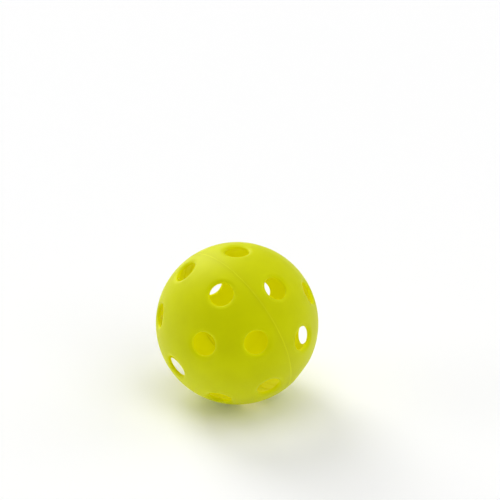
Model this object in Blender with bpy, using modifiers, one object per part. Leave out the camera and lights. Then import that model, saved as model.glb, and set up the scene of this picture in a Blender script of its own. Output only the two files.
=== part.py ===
"""Pickleball ball: a hollow, perforated ball made of two moulded half shells welded at the equator.

Units are metres, +Z is up, and the origin is the centre of the ball. Both half shells are the same
moulding: 13 round holes, one at its pole, 4 in an inner ring and 8 in an outer ring. The second half
is the first one turned over, so the hole patterns of the halves are twisted against each other. The
poles lie in the XZ plane, tilted so that one hole of the outer ring looks straight up.
"""

import math

import bpy

# Ball and wall
BALL_RADIUS = 0.037
WALL = 0.0019
INNER_RADIUS = BALL_RADIUS - WALL

# Holes
HOLE_RADIUS = 0.00545
HOLE_CHAMFER = 0.0004
INNER_RING_HOLES = 4
INNER_RING_POLAR = math.radians(39.2)
INNER_RING_PHASE = math.radians(-22.5)
OUTER_RING_HOLES = 8
OUTER_RING_POLAR = math.radians(72.5)
HALF_TWIST = math.radians(25.0)

# Seam: a gap between the rims, and a step inside them that holds the weld bead
CLEARANCE = 0.0003
STEP_DEPTH = 0.0006
STEP_HEIGHT = 0.0016
BEAD_THICKNESS = 0.0008
BEAD_CROWN = 0.0003

# Facets
TURN_STEPS = 48
HOLE_STEPS = 24
ARC_SEGMENTS = 9
CROWN_SEGMENTS = 4
CUTTER_OVERSHOOT = 0.002
MERGE_DISTANCE = 0.00001

# Linear colours of the yellow-green polyethylene
SHELL_COLOUR = (0.56, 0.60, 0.01, 1.0)
BEAD_COLOUR = (0.66, 0.70, 0.05, 1.0)
PLASTIC_ROUGHNESS = 0.42


def clear_scene():
    for item in list(bpy.data.objects):
        bpy.data.objects.remove(item, do_unlink=True)


def new_collection(name):
    collection = bpy.data.collections.new(name)
    bpy.context.scene.collection.children.link(collection)
    return collection


def plastic(name, colour):
    material = bpy.data.materials.new(name)
    material.use_nodes = True
    shader = material.node_tree.nodes["Principled BSDF"]
    shader.inputs["Base Color"].default_value = colour
    shader.inputs["Roughness"].default_value = PLASTIC_ROUGHNESS
    shader.inputs["Metallic"].default_value = 0.0
    material.diffuse_color = colour
    return material


def arc(radius, start, end, segments):
    """Points (x, z) on a circle about the origin, by angle from +Z."""
    angles = [start + (end - start) * i / segments for i in range(segments + 1)]
    return [(radius * math.sin(a), radius * math.cos(a)) for a in angles]


def turned(name, profile, steps, collection, closed=False):
    """An object whose profile, (x, z) points down its outer side, is turned about Z."""
    count = len(profile)
    edges = [(i, i + 1) for i in range(count - 1)]
    if closed:
        edges.append((count - 1, 0))
    mesh = bpy.data.meshes.new(name)
    mesh.from_pydata([(x, 0.0, z) for x, z in profile], edges, [])
    item = bpy.data.objects.new(name, mesh)
    collection.objects.link(item)
    screw = item.modifiers.new("turn", "SCREW")
    screw.axis = "Z"
    screw.angle = 2.0 * math.pi
    screw.steps = steps
    screw.render_steps = steps
    screw.use_merge_vertices = True
    screw.merge_threshold = MERGE_DISTANCE
    screw.use_smooth_shade = True
    return item


def shell_profile():
    """Outer wall from the pole down to the rim, the stepped rim, and the inner wall back up."""
    rim = CLEARANCE / 2.0
    step_radius = INNER_RADIUS + STEP_DEPTH
    outer = arc(BALL_RADIUS, 0.0, math.acos(rim / BALL_RADIUS), ARC_SEGMENTS)
    inner = arc(INNER_RADIUS, math.acos(STEP_HEIGHT / INNER_RADIUS), 0.0, ARC_SEGMENTS)
    return outer + [(step_radius, rim), (step_radius, STEP_HEIGHT)] + inner


def hole_profile():
    """A punch along +Z through the wall, opening at 45 degrees at the outer surface."""
    mouth = math.sqrt(BALL_RADIUS**2 - HOLE_RADIUS**2)
    top = mouth + CUTTER_OVERSHOOT
    flare = HOLE_RADIUS + HOLE_CHAMFER + CUTTER_OVERSHOOT
    bottom = INNER_RADIUS - 2.0 * CUTTER_OVERSHOOT
    return [(0.0, top), (flare, top), (HOLE_RADIUS, mouth - HOLE_CHAMFER), (HOLE_RADIUS, bottom), (0.0, bottom)]


def hole_directions():
    """Polar angle and azimuth of each hole of one half, in the half's own frame."""
    holes = [(0.0, 0.0)]
    rings = (
        (INNER_RING_HOLES, INNER_RING_POLAR, INNER_RING_PHASE),
        (OUTER_RING_HOLES, OUTER_RING_POLAR, 0.0),
    )
    for count, polar, phase in rings:
        holes += [(polar, phase + 2.0 * math.pi * i / count) for i in range(count)]
    return holes


def half_shell(name, collection, parent, rotation):
    """One moulded half ball, open at its equator, with its 13 holes."""
    shell = turned(name, shell_profile(), TURN_STEPS, collection)
    shell.parent = parent
    shell.rotation_euler = rotation
    shell.data.materials.append(plastic(name, SHELL_COLOUR))
    cutters = new_collection(name + "_cutters")
    for index, (polar, azimuth) in enumerate(hole_directions()):
        cutter = turned(f"{name}_cutter_{index}", hole_profile(), HOLE_STEPS, cutters)
        cutter.parent = shell
        cutter.rotation_euler = (0.0, polar, azimuth)
        cutter.hide_render = True
        cutter.display_type = "WIRE"
    holes = shell.modifiers.new("holes", "BOOLEAN")
    holes.operation = "DIFFERENCE"
    holes.solver = "EXACT"
    holes.operand_type = "COLLECTION"
    holes.collection = cutters
    return shell


def weld_bead(collection, parent):
    """The ring of remelted plastic that lies in the step behind both rims."""
    outer = INNER_RADIUS + STEP_DEPTH - CLEARANCE
    inner = outer - BEAD_THICKNESS
    half_height = STEP_HEIGHT - CLEARANCE
    crown = []
    for i in range(CROWN_SEGMENTS + 1):
        angle = -math.pi / 2.0 + math.pi * i / CROWN_SEGMENTS
        crown.append((inner - BEAD_CROWN * math.cos(angle), half_height * math.sin(angle)))
    profile = [(outer, half_height), (outer, -half_height)] + crown
    bead = turned("weld_bead", profile, TURN_STEPS, collection, closed=True)
    bead.parent = parent
    bead.data.materials.append(plastic("weld_bead", BEAD_COLOUR))
    return bead


def build():
    clear_scene()
    parts = new_collection("pickleball_ball")
    pole_axis = bpy.data.objects.new("pole_axis", None)
    parts.objects.link(pole_axis)
    pole_axis.rotation_euler = (0.0, OUTER_RING_POLAR, 0.0)
    half_shell("right_half_shell", parts, pole_axis, (0.0, 0.0, 0.0))
    half_shell("left_half_shell", parts, pole_axis, (math.pi, 0.0, HALF_TWIST))
    weld_bead(parts, pole_axis)


build()
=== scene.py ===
"""Looks of the pickleball ball: fine moulded half shells and a weld seam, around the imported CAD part.

Each half is built in its own frame, with its pole on +Z and its rim just above z = 0, and is then
turned into place. Its outer and inner walls are even triangle nets that end exactly on the rounded
edge of every hole. Lengths are in metres.
"""
import math

import bmesh
import bpy
from mathutils import Euler, Matrix, Vector
from mathutils.geometry import delaunay_2d_cdt


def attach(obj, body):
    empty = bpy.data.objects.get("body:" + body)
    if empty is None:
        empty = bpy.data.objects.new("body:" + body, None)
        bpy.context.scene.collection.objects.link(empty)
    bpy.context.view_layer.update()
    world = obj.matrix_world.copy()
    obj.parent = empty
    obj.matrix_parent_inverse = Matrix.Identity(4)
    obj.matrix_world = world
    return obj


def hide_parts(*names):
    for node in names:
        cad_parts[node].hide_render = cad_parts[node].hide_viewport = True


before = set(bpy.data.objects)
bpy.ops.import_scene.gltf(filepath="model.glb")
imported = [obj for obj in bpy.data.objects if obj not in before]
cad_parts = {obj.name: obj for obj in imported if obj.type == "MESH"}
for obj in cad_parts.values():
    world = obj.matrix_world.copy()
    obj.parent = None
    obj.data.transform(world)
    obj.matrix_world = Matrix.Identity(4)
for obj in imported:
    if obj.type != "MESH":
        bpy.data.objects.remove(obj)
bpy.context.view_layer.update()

# The ball, as in the CAD model
WALL = 0.0019
HOLE_RADIUS = 0.00545
INNER_RING_HOLES = 4
INNER_RING_POLAR = math.radians(39.2)
INNER_RING_PHASE = math.radians(-22.5)
OUTER_RING_HOLES = 8
OUTER_RING_POLAR = math.radians(72.5)
HALF_TWIST = math.radians(25.0)
STEP_DEPTH = 0.0006
STEP_HEIGHT = 0.0016

# The rims almost meet, where the CAD model keeps a wider gap
RIM_HEIGHT = 0.00001

# Rounded edges
HOLE_OUTER_REACH = 0.0016
HOLE_OUTER_DEPTH = 0.0007
HOLE_INNER_ROUND = 0.0004
RIM_ROUND = 0.00005
STEP_ROUND = 0.0002

# Weld seam: a low crown on the surface, a web between the rims and a bead in the step behind them
WELD_OVERLAP = 0.00002
WELD_WIDTH = 0.0005
WELD_PROUD = 0.00004
WELD_CROWN_STEPS = 6
WEB_WIDTH = 0.0003
BEAD_THICKNESS = 0.0008
BEAD_ROUND = 0.00025

# Mesh fineness
HOLE_STEPS = 72
RIM_STEPS = 288
OUTER_SPACING = 0.00085
INNER_SPACING = 0.0013
OUTER_EDGE_STEPS = 9
ROUND_STEPS = 4
BORE_STEPS = 3
EDGE_FIT_ROUNDS = 20
RING_MARGIN = 0.6
SAME_POINT = 1e-7
SHARP_ANGLE = math.radians(50.0)


def ball_radius():
    """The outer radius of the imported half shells, whose vertices lie on the sphere."""
    return max(v.co.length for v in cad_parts["right_half_shell"].data.vertices)


BALL_RADIUS = ball_radius()
INNER_RADIUS = BALL_RADIUS - WALL


# ---------------------------------------------------------------- half shells


def hole_frames():
    """The frame of each hole of one half: its Z is the hole's axis."""
    frames = [Matrix.Identity(3)]
    rings = (
        (INNER_RING_HOLES, INNER_RING_POLAR, INNER_RING_PHASE),
        (OUTER_RING_HOLES, OUTER_RING_POLAR, 0.0),
    )
    for count, polar, phase in rings:
        for i in range(count):
            azimuth = phase + 2.0 * math.pi * i / count
            frames.append(Matrix.Rotation(azimuth, 3, "Z") @ Matrix.Rotation(polar, 3, "Y"))
    return frames


def arc(centre, radius, start, end, steps):
    """Points on a circle, by angle from the first axis of its plane."""
    angles = [start + (end - start) * i / steps for i in range(steps + 1)]
    return [(centre[0] + radius * math.cos(a), centre[1] + radius * math.sin(a)) for a in angles]


def outer_edge():
    """An ellipse quarter that leaves the outer wall smoothly and runs straight down the bore."""
    centre = HOLE_RADIUS + HOLE_OUTER_REACH
    lean = math.pi / 2.0
    for _ in range(EDGE_FIT_ROUNDS):
        reach = centre + HOLE_OUTER_REACH * math.cos(lean)
        height = math.sqrt(BALL_RADIUS**2 - reach**2)
        lean = math.atan2(HOLE_OUTER_DEPTH * height, HOLE_OUTER_REACH * reach)
    base = height - HOLE_OUTER_DEPTH * math.sin(lean)
    turns = arc((0.0, 0.0), 1.0, lean, math.pi, OUTER_EDGE_STEPS)
    return [(centre + HOLE_OUTER_REACH * x, base + HOLE_OUTER_DEPTH * y) for x, y in turns]


def hole_profile():
    """(distance from the hole's axis, height) from the outer wall through the bore to the inner wall."""
    outer = outer_edge()
    reach = HOLE_RADIUS + HOLE_INNER_ROUND
    height = math.sqrt((INNER_RADIUS + HOLE_INNER_ROUND) ** 2 - reach**2)
    end = math.pi + math.atan2(height, reach)
    inner = arc((reach, height), HOLE_INNER_ROUND, math.pi, end, ROUND_STEPS)
    top, bottom = outer[-1][1], inner[0][1]
    bore = [(HOLE_RADIUS, top + (bottom - top) * i / BORE_STEPS) for i in range(1, BORE_STEPS)]
    return outer + bore + inner


def rim_profile():
    """(distance from the pole axis, height) from the outer wall round the rim to the inner wall."""
    height = RIM_HEIGHT + RIM_ROUND
    reach = math.sqrt((BALL_RADIUS - RIM_ROUND) ** 2 - height**2)
    start = math.atan2(height, reach)
    edge = arc((reach, height), RIM_ROUND, start, -math.pi / 2.0, ROUND_STEPS)
    step = INNER_RADIUS + STEP_DEPTH
    height = STEP_HEIGHT + STEP_ROUND
    reach = math.sqrt((INNER_RADIUS + STEP_ROUND) ** 2 - height**2)
    end = -math.pi + math.atan2(height, reach)
    lip = arc((reach, height), STEP_ROUND, -math.pi / 2.0, end, ROUND_STEPS)
    return edge + [(step, RIM_HEIGHT), (step, STEP_HEIGHT)] + lip


def turned_rows(profile, steps, turn=Matrix.Identity(3)):
    """One ring of points for each point of the profile."""
    angles = [2.0 * math.pi * i / steps for i in range(steps)]
    return [[turn @ Vector((r * math.cos(a), r * math.sin(a), h)) for a in angles] for r, h in profile]


def lattice(spacing, radius):
    """Evenly spread directions over the upper half sphere, along a spiral."""
    golden_angle = math.pi * (3.0 - math.sqrt(5.0))
    area_of_one = spacing**2 * math.sqrt(3.0) / 2.0
    count = int(2.0 * math.pi * radius**2 / area_of_one)
    for i in range(count):
        z = 1.0 - (i + 0.5) / count
        ring = math.sqrt(1.0 - z * z)
        turn = i * golden_angle
        yield Vector((ring * math.cos(turn), ring * math.sin(turn), z))


class Net:
    """Vertices and faces of one closed mesh, as it grows."""

    def __init__(self):
        self.points = []
        self.faces = []

    def add(self, points):
        first = len(self.points)
        self.points.extend(points)
        return list(range(first, len(self.points)))

    def join(self, upper, lower):
        """A band of quads between two rings."""
        count = len(upper)
        for i in range(count):
            j = (i + 1) % count
            self.faces.append((upper[i], upper[j], lower[j], lower[i]))

    def band(self, rings):
        for upper, lower in zip(rings, rings[1:]):
            self.join(upper, lower)


def flat(point):
    """Stereographic projection from the lower pole, which keeps circles as circles."""
    n = point.normalized()
    return Vector((n.x, n.y)) / (1.0 + n.z)


def spread_wall(net, radius, spacing, hole_rings, rim_ring, frames):
    """Fills a wall between its hole rings and its rim ring with an even Delaunay net."""
    margin = RING_MARGIN * spacing / radius
    lowest = net.points[rim_ring[0]].z / radius + margin
    reaches = [net.points[ring[0]].angle(f.col[2]) + margin for ring, f in zip(hole_rings, frames)]
    limits = [(f.col[2], math.cos(reach)) for f, reach in zip(frames, reaches)]
    free = [
        n * radius
        for n in lattice(spacing, radius)
        if n.z > lowest and all(n.dot(axis) < limit for axis, limit in limits)
    ]
    rings = [rim_ring] + hole_rings
    members = [i for ring in rings for i in ring] + net.add(free)
    edges, owner = [], {}
    start = 0
    for number, ring in enumerate(rings):
        count = len(ring)
        edges += [(start + i, start + (i + 1) % count) for i in range(count)]
        if number:
            owner.update((i, number) for i in ring)
        start += count
    made = delaunay_2d_cdt([flat(net.points[i]) for i in members], edges, [], 0, SAME_POINT)
    faces, sources = made[2], made[3]
    for face in faces:
        corners = tuple(members[sources[i][0]] for i in face)
        owners = {owner.get(i) for i in corners}
        # a face with all its corners on the ring of one hole would cover that hole
        if owners == {None} or len(owners) > 1:
            net.faces.append(corners)


def half_shell_mesh(name):
    """One moulded half as a closed mesh in its own frame."""
    net = Net()
    frames = hole_frames()
    holes = []
    for hole in frames:
        rings = [net.add(row) for row in turned_rows(hole_profile(), HOLE_STEPS, hole)]
        net.band(rings)
        holes.append(rings)
    rim = [net.add(row) for row in turned_rows(rim_profile(), RIM_STEPS)]
    net.band(rim)
    outer_rings = [rings[0] for rings in holes]
    inner_rings = [rings[-1] for rings in holes]
    spread_wall(net, BALL_RADIUS, OUTER_SPACING, outer_rings, rim[0], frames)
    spread_wall(net, INNER_RADIUS, INNER_SPACING, inner_rings, rim[-1], frames)
    return finished_mesh(name, net)


def finished_mesh(name, net):
    """A smooth mesh whose faces all look outwards."""
    mesh = bpy.data.meshes.new(name)
    mesh.from_pydata(net.points, [], net.faces)
    mesh.validate()
    work = bmesh.new()
    work.from_mesh(mesh)
    bmesh.ops.recalc_face_normals(work, faces=work.faces)
    work.to_mesh(mesh)
    work.free()
    mesh.shade_smooth()
    mesh.set_sharp_from_angle(angle=SHARP_ANGLE)
    return mesh


# ---------------------------------------------------------------- weld seam


def weld_profile():
    """(distance from the pole axis, height) round the weld: crown, lower side, and upper side."""
    half_crown = WELD_WIDTH / 2.0
    crown_radius = (half_crown**2 + WELD_PROUD**2) / (2.0 * WELD_PROUD)
    crown_centre = (BALL_RADIUS + WELD_PROUD - crown_radius, 0.0)
    lean = math.asin(half_crown / crown_radius)
    crown = arc(crown_centre, crown_radius, lean, -lean, WELD_CROWN_STEPS)
    half_web = WEB_WIDTH / 2.0
    bead_outer = INNER_RADIUS + STEP_DEPTH + WELD_OVERLAP
    bead_inner = bead_outer - BEAD_THICKNESS
    half_bead = STEP_HEIGHT - WELD_OVERLAP
    corner = (bead_inner + BEAD_ROUND, -half_bead + BEAD_ROUND)
    lower = [
        (BALL_RADIUS - half_web, -half_web),
        (bead_outer, -half_web),
        (bead_outer, -half_bead),
    ]
    lower += arc(corner, BEAD_ROUND, -math.pi / 2.0, -math.pi, ROUND_STEPS)
    upper = [(r, -h) for r, h in reversed(lower)]
    return crown + lower + upper


def weld_mesh(name):
    """The weld as a closed ring, in the frame of the right half."""
    net = Net()
    rings = [net.add(row) for row in turned_rows(weld_profile(), RIM_STEPS)]
    net.band(rings + [rings[0]])
    return finished_mesh(name, net)


# ---------------------------------------------------------------- materials


# What the two plastics share
# Painted light: the inner side, the walls of the holes and their rounded edges get a brighter colour
# than the outer side. This painted glow stands in for light that comes through the walls and bounces
# inside the ball; the reach says how far into the wall it goes.
INNER_PAINTED_LIGHT = (0.94, 0.925, 0.002, 1.0)
INNER_PAINTED_LIGHT_REACH = 0.8
CLOUD_NOISE = {"Scale": 70.0, "Detail": 3.0, "Roughness": 0.55}
GRAIN_NOISE = {"Scale": 1500.0, "Detail": 3.0, "Roughness": 0.6}
WAVE_STRENGTH = 0.35
WAVE_HEIGHT = 0.0004
GRAIN_STRENGTH = 0.25
GRAIN_HEIGHT = 0.00004
LEAST_ROUGHNESS = 0.50
MOST_ROUGHNESS = 0.62
PLASTIC_IOR = 1.5
SPECULAR_LEVEL = 0.5
SPECULAR_TINT = (1.0, 1.0, 0.0, 1.0)
SCATTER_RADIUS = (1.0, 1.0, 0.25)
SCATTER_SCALE = 0.0016

# What they don't share: tone of the outer side, share of scattered light, cloudiness of the tone
SHELL_PLASTIC = {"outer": (0.68, 0.715, 0.002, 1.0), "scatter": 1.0, "clouding": 0.04}
# Painted highlight: the weld is coloured lighter than the shells and scatters no light, so the seam
# shows as a faint light line where it would catch the light. Its stronger cloudiness makes that painted
# line come and go along the seam.
WELD_PLASTIC_AND_PAINTED_HIGHLIGHT = {"outer": (0.79, 0.835, 0.012, 1.0), "scatter": 0.0, "clouding": 0.08}

# Each piece's place in the noise
RIGHT_SEED = 1.0
LEFT_SEED = 5.0
WELD_SEED = 9.0


def add(tree, kind, **inputs):
    """A node with these inputs set; an underscore stands for a space."""
    node = tree.nodes.new(kind)
    for name, value in inputs.items():
        node.inputs[name.replace("_", " ")].default_value = value
    return node


def noise(tree, where, seed, **inputs):
    """Noise in the piece's own space; the seed is its fourth coordinate."""
    node = tree.nodes.new("ShaderNodeTexNoise")
    node.noise_dimensions = "4D"
    node.inputs["W"].default_value = seed
    for name, value in inputs.items():
        node.inputs[name].default_value = value
    tree.links.new(where, node.inputs["Vector"])
    return node


def plastic(name, seed, outer, scatter, clouding):
    """Translucent polyethylene: fine mould texture, a little cloudiness, and painted light inside: a
    brighter colour on the inner side that stands in for light coming through the walls and bouncing
    inside.
    """
    material = bpy.data.materials.new(name)
    material.use_nodes = True
    tree = material.node_tree
    link = tree.links.new
    shader = tree.nodes["Principled BSDF"]
    place = tree.nodes.new("ShaderNodeTexCoord")
    where = place.outputs["Object"]

    # Painted light: the colour shades from the brighter inner colour at the inner wall to the outer
    # colour, through the bore walls and the rounded edges.
    length = tree.nodes.new("ShaderNodeVectorMath")
    length.operation = "LENGTH"
    link(where, length.inputs[0])
    painted_light_depth = add(tree, "ShaderNodeMapRange", From_Min=INNER_RADIUS)
    painted_light_depth.inputs["From Max"].default_value = INNER_RADIUS + INNER_PAINTED_LIGHT_REACH * WALL
    link(length.outputs["Value"], painted_light_depth.inputs["Value"])

    cloud = noise(tree, where, seed, **CLOUD_NOISE)
    grain = noise(tree, where, seed, **GRAIN_NOISE)

    # inputs 6 and 7 and output 2 are the colour sockets of a Mix node
    tone_with_painted_light = tree.nodes.new("ShaderNodeMix")
    tone_with_painted_light.data_type = "RGBA"
    link(painted_light_depth.outputs["Result"], tone_with_painted_light.inputs["Factor"])
    # input 6 takes the painted light colour of the inner side, input 7 the plastic's outer colour
    tone_with_painted_light.inputs[6].default_value = INNER_PAINTED_LIGHT
    tone_with_painted_light.inputs[7].default_value = outer

    cloudy = add(tree, "ShaderNodeMapRange", From_Min=0.3, From_Max=0.7)
    cloudy.inputs["To Min"].default_value = 1.0 - clouding
    cloudy.inputs["To Max"].default_value = 1.0 + clouding
    link(cloud.outputs["Fac"], cloudy.inputs["Value"])
    colour = tree.nodes.new("ShaderNodeVectorMath")
    colour.operation = "SCALE"
    link(tone_with_painted_light.outputs[2], colour.inputs[0])
    link(cloudy.outputs["Result"], colour.inputs["Scale"])
    link(colour.outputs["Vector"], shader.inputs["Base Color"])

    matt = add(tree, "ShaderNodeMapRange", From_Min=0.25, From_Max=0.75)
    matt.inputs["To Min"].default_value = LEAST_ROUGHNESS
    matt.inputs["To Max"].default_value = MOST_ROUGHNESS
    link(grain.outputs["Fac"], matt.inputs["Value"])
    link(matt.outputs["Result"], shader.inputs["Roughness"])

    texture = add(tree, "ShaderNodeBump", Strength=GRAIN_STRENGTH, Distance=GRAIN_HEIGHT)
    link(grain.outputs["Fac"], texture.inputs["Height"])
    waves = add(tree, "ShaderNodeBump", Strength=WAVE_STRENGTH, Distance=WAVE_HEIGHT)
    link(cloud.outputs["Fac"], waves.inputs["Height"])
    link(waves.outputs["Normal"], texture.inputs["Normal"])
    link(texture.outputs["Normal"], shader.inputs["Normal"])

    shader.inputs["IOR"].default_value = PLASTIC_IOR
    shader.inputs["Specular IOR Level"].default_value = SPECULAR_LEVEL
    shader.inputs["Specular Tint"].default_value = SPECULAR_TINT
    shader.inputs["Subsurface Weight"].default_value = scatter
    shader.inputs["Subsurface Radius"].default_value = SCATTER_RADIUS
    shader.inputs["Subsurface Scale"].default_value = SCATTER_SCALE
    return material


# ---------------------------------------------------------------- pieces


def place_piece(name, mesh, turn, material, node):
    """Turns the mesh into place, so that the object's own box is its box in the row frame."""
    mesh.transform(turn.to_4x4())
    mesh.materials.append(material)
    piece = bpy.data.objects.new(name, mesh)
    bpy.context.scene.collection.objects.link(piece)
    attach(piece, "root")
    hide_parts(node)


def make_ball():
    """The two halves and the weld between them."""
    pole = Matrix.Rotation(OUTER_RING_POLAR, 3, "Y")
    turned_over = pole @ Euler((math.pi, 0.0, HALF_TWIST)).to_matrix()
    halves = (
        ("right_half_moulding", "right_half_shell", pole, RIGHT_SEED),
        ("left_half_moulding", "left_half_shell", turned_over, LEFT_SEED),
    )
    for name, node, turn, seed in halves:
        material = plastic(name, seed, **SHELL_PLASTIC)
        place_piece(name, half_shell_mesh(name), turn, material, node)
    # the weld's material paints a light line along the seam
    material = plastic("weld_seam", WELD_SEED, **WELD_PLASTIC_AND_PAINTED_HIGHLIGHT)
    place_piece("weld_seam", weld_mesh("weld_seam"), pole, material, "weld_bead")


# ---------------------------------------------------------------- studio


CAMERA_AZIMUTH = math.radians(-37.2)
CAMERA_ELEVATION = math.radians(27.3)
CAMERA_LENS = 147.6
CAMERA_SENSOR = 36.0
NEAREST_SEEN = 0.01
FARTHEST_SEEN = 50.0
CAMERA_DISTANCE = 25.25 * BALL_RADIUS
AIM_RIGHT = 0.162 * BALL_RADIUS
AIM_UP = 0.9006 * BALL_RADIUS
LIGHT_BOUNCES = 16

# Soft lights: angle round the ball from the camera's own to the right, height, width (degrees), strength
SOFTBOXES = {
    "key_high": (-150.0, 45.0, 30.0, 0.86),
    "key_low": (-150.0, 25.0, 30.0, 0.70),
    "left": (-90.0, 12.0, 30.0, 0.55),
    "right_front": (45.0, 45.0, 40.0, 0.70),
    "right_back": (110.0, 45.0, 40.0, 0.42),
    "top": (0.0, 85.0, 45.0, 0.85),
}
WORLD_STRENGTH = 0.15
WHITE = (1.0, 1.0, 1.0, 1.0)

# Floor
FLOOR_RADIUS = 6.0
FLOOR_SIDES = 96
FLOOR_COLOUR = (0.95, 0.95, 0.95, 1.0)
FLOOR_GLOW = 0.05
FLOOR_ROUGHNESS = 0.9
FLOOR_SPECULAR_LEVEL = 0.1


def direction(azimuth, elevation):
    """Unit vector towards a place round the ball, as the views count their angles."""
    level = math.cos(elevation)
    return Vector((math.sin(azimuth) * level, -math.cos(azimuth) * level, math.sin(elevation)))


def aim(item, target):
    """Turns a camera or a light to look at a point."""
    item.rotation_euler = (target - item.location).to_track_quat("-Z", "Y").to_euler()


def make_camera():
    """A long lens, aimed above the ball, which stands low in the frame."""
    data = bpy.data.cameras.new("camera")
    data.lens = CAMERA_LENS
    data.sensor_width = CAMERA_SENSOR
    data.clip_start = NEAREST_SEEN
    data.clip_end = FARTHEST_SEEN
    camera = bpy.data.objects.new("camera", data)
    bpy.context.scene.collection.objects.link(camera)
    camera.location = direction(CAMERA_AZIMUTH, CAMERA_ELEVATION) * CAMERA_DISTANCE
    sight = (-camera.location).to_track_quat("-Z", "Y").to_matrix()
    aim(camera, sight.col[0] * AIM_RIGHT + sight.col[1] * AIM_UP)
    bpy.context.scene.camera = camera


def make_softbox(name, side, elevation, width, strength):
    """A distant soft light, with its angles in degrees."""
    data = bpy.data.lights.new(name, "SUN")
    data.energy = strength
    data.angle = math.radians(width)
    light = bpy.data.objects.new(name, data)
    bpy.context.scene.collection.objects.link(light)
    light.location = direction(CAMERA_AZIMUTH + math.radians(side), math.radians(elevation))
    aim(light, Vector())


def make_floor():
    """Pale paper under the ball, with a faint glow of its own."""
    bpy.ops.mesh.primitive_circle_add(vertices=FLOOR_SIDES, radius=FLOOR_RADIUS, fill_type="NGON")
    floor = bpy.context.object
    floor.location = (0.0, 0.0, -BALL_RADIUS)
    floor.name = "floor"
    material = bpy.data.materials.new("floor_paper")
    material.use_nodes = True
    shader = material.node_tree.nodes["Principled BSDF"]
    shader.inputs["Base Color"].default_value = FLOOR_COLOUR
    shader.inputs["Emission Color"].default_value = WHITE
    shader.inputs["Emission Strength"].default_value = FLOOR_GLOW
    shader.inputs["Roughness"].default_value = FLOOR_ROUGHNESS
    shader.inputs["Specular IOR Level"].default_value = FLOOR_SPECULAR_LEVEL
    floor.data.materials.append(material)


def make_world():
    """A pale room, white where it is seen straight on."""
    world = bpy.data.worlds.new("studio")
    bpy.context.scene.world = world
    world.use_nodes = True
    tree = world.node_tree
    background = tree.nodes["Background"]
    background.inputs["Color"].default_value = WHITE
    path = tree.nodes.new("ShaderNodeLightPath")
    strength = add(tree, "ShaderNodeMapRange", To_Min=WORLD_STRENGTH, To_Max=1.0)
    tree.links.new(path.outputs["Is Camera Ray"], strength.inputs["Value"])
    tree.links.new(strength.outputs["Result"], background.inputs["Strength"])


def set_light_paths():
    """Light bounces many times inside a pale hollow ball."""
    cycles = bpy.context.scene.cycles
    cycles.max_bounces = LIGHT_BOUNCES
    cycles.diffuse_bounces = LIGHT_BOUNCES


def make_studio():
    bpy.context.scene.view_settings.view_transform = "Standard"
    set_light_paths()
    make_world()
    make_floor()
    for name, facts in SOFTBOXES.items():
        make_softbox(name, *facts)
    make_camera()


make_ball()
make_studio()
